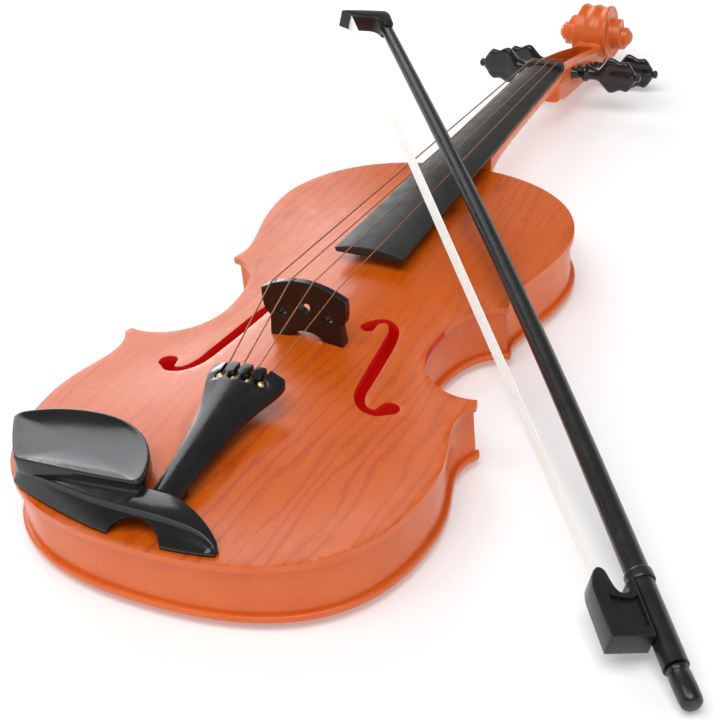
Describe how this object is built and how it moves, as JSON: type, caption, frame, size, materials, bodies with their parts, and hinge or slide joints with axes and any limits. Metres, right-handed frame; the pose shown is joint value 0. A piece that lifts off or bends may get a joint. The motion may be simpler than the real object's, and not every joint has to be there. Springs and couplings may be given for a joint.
{
  "type": "violin",
  "caption": "Small plastic violin with sound holes, bridge, tailpiece, chin rest, four turning pegs and a bow lying across the strings.",
  "frame": {"origin": "middle of the flat of the back, on the surface that the violin lies on", "axes": "+Y from the tail towards the scroll, +Z out of the top towards the strings, +X towards the treble side"},
  "size_m": [0.2511, 0.4498, 0.078],
  "materials": {
    "orange_top": "gloss",
    "orange_side": "gloss",
    "black_plastic": "gloss",
    "board_plastic": "satin",
    "bridge_plastic": "satin",
    "inner_wood": "matte",
    "steel": "polished",
    "brass": "polished",
    "bow_hair": "satin"
  },
  "bodies": {
    "violin": {"top_plate": "orange_top", "rib_shell": "orange_side", "back_plate": "orange_side", "neck": "orange_side", "tailpiece": "black_plastic", "chin_rest": "black_plastic", "fingerboard": "board_plastic", "nut": "board_plastic", "bridge": "bridge_plastic", "bass_bar": "inner_wood", "sound_post": "inner_wood", "neck_block": "inner_wood", "string_g": "steel", "string_d": "steel", "string_a": "steel", "string_e": "steel", "back_screw_1": "steel", "back_screw_2": "steel", "back_screw_3": "steel", "back_screw_4": "steel", "back_screw_5": "steel", "back_screw_6": "steel", "neck_screw_1": "steel", "neck_screw_2": "steel", "chin_rest_screw_1": "steel", "chin_rest_screw_2": "steel", "tailpiece_screw": "steel", "ball_end_g": "brass", "ball_end_d": "brass", "ball_end_a": "brass", "ball_end_e": "brass"},
    "bow": {"bow_stick": "black_plastic", "bow_hair": "bow_hair", "bow_collar": "black_plastic"},
    "frog": {"bow_frog": "black_plastic"},
    "bow_screw": {"bow_screw": "black_plastic"},
    "tuning_peg_g": {"peg_g": "black_plastic", "string_winding_g": "steel"},
    "tuning_peg_d": {"peg_d": "black_plastic", "string_winding_d": "steel"},
    "tuning_peg_a": {"peg_a": "black_plastic", "string_winding_a": "steel"},
    "tuning_peg_e": {"peg_e": "black_plastic", "string_winding_e": "steel"}
  },
  "joints": [
    {"name": "peg_g_turn", "type": "hinge", "parent": "violin", "child": "tuning_peg_g", "pos_m": [0, 0.2435, 0.02321], "axis": [1, 0, 0], "continuous": true},
    {"name": "peg_d_turn", "type": "hinge", "parent": "violin", "child": "tuning_peg_d", "pos_m": [0, 0.271, 0.01315], "axis": [1, 0, 0], "continuous": true},
    {"name": "peg_a_turn", "type": "hinge", "parent": "violin", "child": "tuning_peg_a", "pos_m": [0, 0.2795, 0.01004], "axis": [1, 0, 0], "continuous": true},
    {"name": "peg_e_turn", "type": "hinge", "parent": "violin", "child": "tuning_peg_e", "pos_m": [0, 0.252, 0.0201], "axis": [1, 0, 0], "continuous": true},
    {"name": "bow_lift", "type": "slide", "parent": "violin", "child": "bow", "axis": [0, 0, 1], "range_m": [0, 0.15]},
    {"name": "bow_screw_turn", "type": "hinge", "parent": "bow", "child": "bow_screw", "pos_m": [0.17458, -0.11287, 0.00368], "axis": [0.6122, -0.7712, -0.1747], "range_deg": [0, 1440]},
    {"name": "frog_slide", "type": "slide", "parent": "bow", "child": "frog", "axis": [0.6122, -0.7712, -0.1747], "range_m": [0, 0.0024]}
  ],
  "couplings": [
    {"joint": "bow_screw_turn", "follows": "frog_slide", "rad_per_m": 10471}
  ]
}
